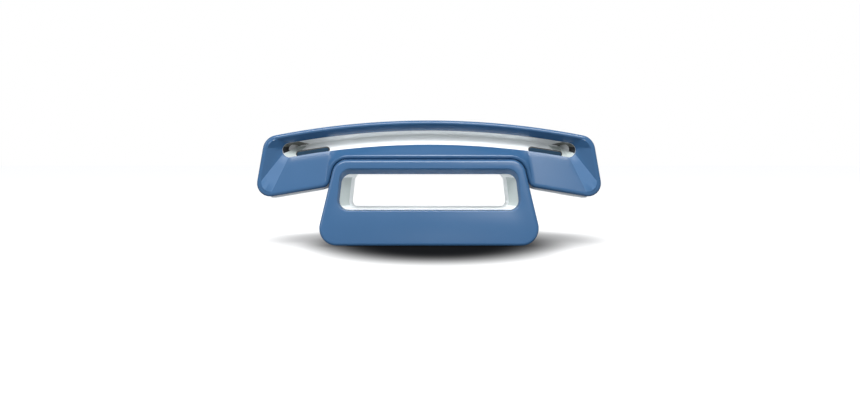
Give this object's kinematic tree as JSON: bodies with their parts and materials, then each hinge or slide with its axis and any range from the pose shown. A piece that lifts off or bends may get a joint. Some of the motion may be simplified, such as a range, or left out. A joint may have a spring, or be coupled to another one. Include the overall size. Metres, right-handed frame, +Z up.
{
  "type": "cordless table phone",
  "caption": "Retro-style cordless phone: an arched handset with side grip slots lies across a low loop-shaped charging base with a see-through window.",
  "frame": {"origin": "on the surface the feet stand on, under the middle of the base", "axes": "+X from the earpiece end to the mouthpiece end, -Y the front of the base, +Z up"},
  "size_m": [0.2094, 0.075, 0.0761],
  "materials": {
    "blue_gloss": "high-gloss moulded ABS",
    "white_gloss": "gloss moulded ABS",
    "navy_gloss": "gloss, translucent dark blue",
    "plate_blue": "fine texture",
    "rubber_black": "matt",
    "zinc_steel": "zinc plated",
    "board_green": "solder mask",
    "tin_shield": "tinned",
    "black_plastic": "moulded",
    "gold_contact": "gold plated",
    "key_silver": "satin paint",
    "lens_dark": "clear gloss",
    "display_glass": "liquid crystal glass",
    "mat_rubber": "translucent silicone",
    "foam_black": "open foam",
    "cell_wrap": "shrink wrap"
  },
  "bodies": {
    "base": {"base_front_shell": "blue_gloss", "base_rear_shell": "blue_gloss", "window_lining": "white_gloss", "base_plate": "plate_blue", "rubber_feet": "rubber_black", "base_screws": "zinc_steel", "steel_weight": "zinc_steel", "base_board": "board_green", "radio_shield": "tin_shield", "antenna": "tin_shield", "line_socket": "black_plastic", "power_socket": "black_plastic", "button_switch": "black_plastic", "cradle": "white_gloss", "contact_holder": "black_plastic", "contact_springs": "gold_contact"},
    "handset": {"handset_front_shell": "blue_gloss", "handset_rear_shell": "blue_gloss", "slot_lining_front": "white_gloss", "slot_lining_rear": "white_gloss", "slot_pads_front": "navy_gloss", "slot_pads_rear": "navy_gloss", "keypad_panel": "white_gloss", "charging_studs": "gold_contact", "earpiece_face": "white_gloss", "mouthpiece_face": "white_gloss", "earpiece_gasket": "foam_black", "earpiece_speaker": "tin_shield", "battery_pack": "cell_wrap", "battery_tray": "black_plastic", "microphone": "tin_shield", "display_lens": "lens_dark", "display_module": "display_glass", "key_mat": "mat_rubber", "handset_board": "board_green"},
    "locator_button": {"locator_button": "blue_gloss"},
    "charging_pin_front": {"charging_pin_front": "gold_contact"},
    "charging_pin_rear": {"charging_pin_rear": "gold_contact"},
    "battery_door": {"battery_door": "white_gloss"},
    "key_0": {"key_0": "key_silver"},
    "key_1": {"key_1": "key_silver"},
    "key_2": {"key_2": "key_silver"},
    "key_3": {"key_3": "key_silver"},
    "key_4": {"key_4": "key_silver"},
    "key_5": {"key_5": "key_silver"},
    "key_6": {"key_6": "key_silver"},
    "key_7": {"key_7": "key_silver"},
    "key_8": {"key_8": "key_silver"},
    "key_9": {"key_9": "key_silver"},
    "key_clear": {"key_clear": "key_silver"},
    "key_down": {"key_down": "key_silver"},
    "key_end": {"key_end": "key_silver"},
    "key_hash": {"key_hash": "key_silver"},
    "key_menu": {"key_menu": "key_silver"},
    "key_star": {"key_star": "key_silver"},
    "key_talk": {"key_talk": "key_silver"},
    "key_up": {"key_up": "key_silver"}
  },
  "joints": [
    {"name": "handset_lift", "type": "slide", "parent": "base", "child": "handset", "axis": [0, 0, 1], "range_m": [0, 0.14]},
    {"name": "locator_press", "type": "slide", "parent": "base", "child": "locator_button", "axis": [0, -1, 0], "range_m": [0, 0.001], "stiffness_N_per_m": 1200, "springref_m": -0.0003},
    {"name": "charging_pin_front_press", "type": "slide", "parent": "base", "child": "charging_pin_front", "axis": [0, 0, 1], "range_m": [-0.0012, 0], "stiffness_N_per_m": 500, "springref_m": 0.0004},
    {"name": "charging_pin_rear_press", "type": "slide", "parent": "base", "child": "charging_pin_rear", "axis": [0, 0, 1], "range_m": [-0.0012, 0], "stiffness_N_per_m": 500, "springref_m": 0.0004},
    {"name": "battery_door_off", "type": "slide", "parent": "handset", "child": "battery_door", "axis": [-0.1694, 0, -0.9855], "range_m": [0, 0.012]},
    {"name": "key_0_press", "type": "slide", "parent": "handset", "child": "key_0", "axis": [0, 0, 1], "range_m": [0, 0.0007], "stiffness_N_per_m": 1500, "springref_m": -0.0003},
    {"name": "key_1_press", "type": "slide", "parent": "handset", "child": "key_1", "axis": [0, 0, 1], "range_m": [0, 0.0007], "stiffness_N_per_m": 1500, "springref_m": -0.0003},
    {"name": "key_2_press", "type": "slide", "parent": "handset", "child": "key_2", "axis": [0, 0, 1], "range_m": [0, 0.0007], "stiffness_N_per_m": 1500, "springref_m": -0.0003},
    {"name": "key_3_press", "type": "slide", "parent": "handset", "child": "key_3", "axis": [0, 0, 1], "range_m": [0, 0.0007], "stiffness_N_per_m": 1500, "springref_m": -0.0003},
    {"name": "key_4_press", "type": "slide", "parent": "handset", "child": "key_4", "axis": [0, 0, 1], "range_m": [0, 0.0007], "stiffness_N_per_m": 1500, "springref_m": -0.0003},
    {"name": "key_5_press", "type": "slide", "parent": "handset", "child": "key_5", "axis": [0, 0, 1], "range_m": [0, 0.0007], "stiffness_N_per_m": 1500, "springref_m": -0.0003},
    {"name": "key_6_press", "type": "slide", "parent": "handset", "child": "key_6", "axis": [0, 0, 1], "range_m": [0, 0.0007], "stiffness_N_per_m": 1500, "springref_m": -0.0003},
    {"name": "key_7_press", "type": "slide", "parent": "handset", "child": "key_7", "axis": [0, 0, 1], "range_m": [0, 0.0007], "stiffness_N_per_m": 1500, "springref_m": -0.0003},
    {"name": "key_8_press", "type": "slide", "parent": "handset", "child": "key_8", "axis": [0, 0, 1], "range_m": [0, 0.0007], "stiffness_N_per_m": 1500, "springref_m": -0.0003},
    {"name": "key_9_press", "type": "slide", "parent": "handset", "child": "key_9", "axis": [0, 0, 1], "range_m": [0, 0.0007], "stiffness_N_per_m": 1500, "springref_m": -0.0003},
    {"name": "key_clear_press", "type": "slide", "parent": "handset", "child": "key_clear", "axis": [0, 0, 1], "range_m": [0, 0.0007], "stiffness_N_per_m": 1500, "springref_m": -0.0003},
    {"name": "key_down_press", "type": "slide", "parent": "handset", "child": "key_down", "axis": [0, 0, 1], "range_m": [0, 0.0007], "stiffness_N_per_m": 1500, "springref_m": -0.0003},
    {"name": "key_end_press", "type": "slide", "parent": "handset", "child": "key_end", "axis": [0, 0, 1], "range_m": [0, 0.0007], "stiffness_N_per_m": 1500, "springref_m": -0.0003},
    {"name": "key_hash_press", "type": "slide", "parent": "handset", "child": "key_hash", "axis": [0, 0, 1], "range_m": [0, 0.0007], "stiffness_N_per_m": 1500, "springref_m": -0.0003},
    {"name": "key_menu_press", "type": "slide", "parent": "handset", "child": "key_menu", "axis": [0, 0, 1], "range_m": [0, 0.0007], "stiffness_N_per_m": 1500, "springref_m": -0.0003},
    {"name": "key_star_press", "type": "slide", "parent": "handset", "child": "key_star", "axis": [0, 0, 1], "range_m": [0, 0.0007], "stiffness_N_per_m": 1500, "springref_m": -0.0003},
    {"name": "key_talk_press", "type": "slide", "parent": "handset", "child": "key_talk", "axis": [0, 0, 1], "range_m": [0, 0.0007], "stiffness_N_per_m": 1500, "springref_m": -0.0003},
    {"name": "key_up_press", "type": "slide", "parent": "handset", "child": "key_up", "axis": [0, 0, 1], "range_m": [0, 0.0007], "stiffness_N_per_m": 1500, "springref_m": -0.0003}
  ]
}
